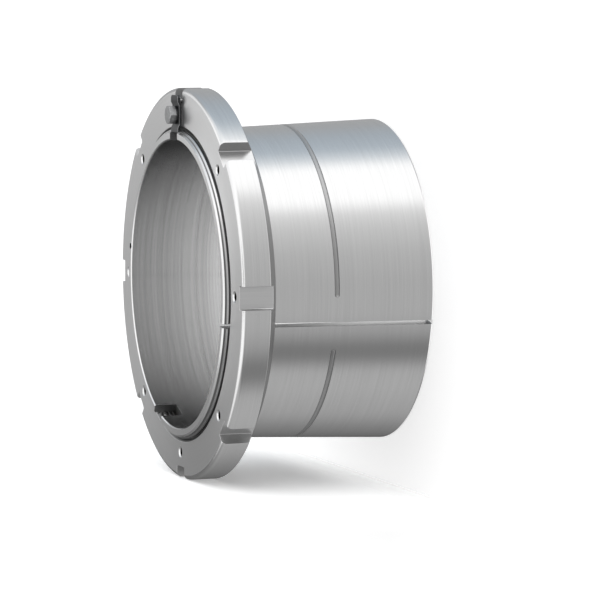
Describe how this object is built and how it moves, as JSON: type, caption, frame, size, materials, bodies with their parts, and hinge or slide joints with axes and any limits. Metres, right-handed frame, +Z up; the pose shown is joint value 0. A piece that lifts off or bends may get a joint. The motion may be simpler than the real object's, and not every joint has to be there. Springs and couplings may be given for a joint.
{
  "type": "bearing adapter sleeve",
  "caption": "Slit tapered adapter sleeve with a cylindrical bore and an oil injection groove, its slotted lock nut, and a bolted locking clip.",
  "frame": {"origin": "centre of the big end's face, on the sleeve's axis", "axes": "+Z up the sleeve's axis to the threaded end and the nut; +X through the locking clip and its bolt; the camera side of the picture is towards -Y"},
  "size_m": [0.3794, 0.3794, 0.2141],
  "materials": {
    "sleeve_steel": "fine turned",
    "nut_steel": "fine turned",
    "clip_steel": "dark phosphated",
    "bolt_steel": "dark phosphated",
    "washer_steel": "dark phosphated"
  },
  "bodies": {
    "root": {"adapter_sleeve": "sleeve_steel", "lock_nut": "nut_steel", "locking_clip": "clip_steel", "clip_bolt": "bolt_steel", "spring_washer": "washer_steel"}
  },
  "joints": []
}
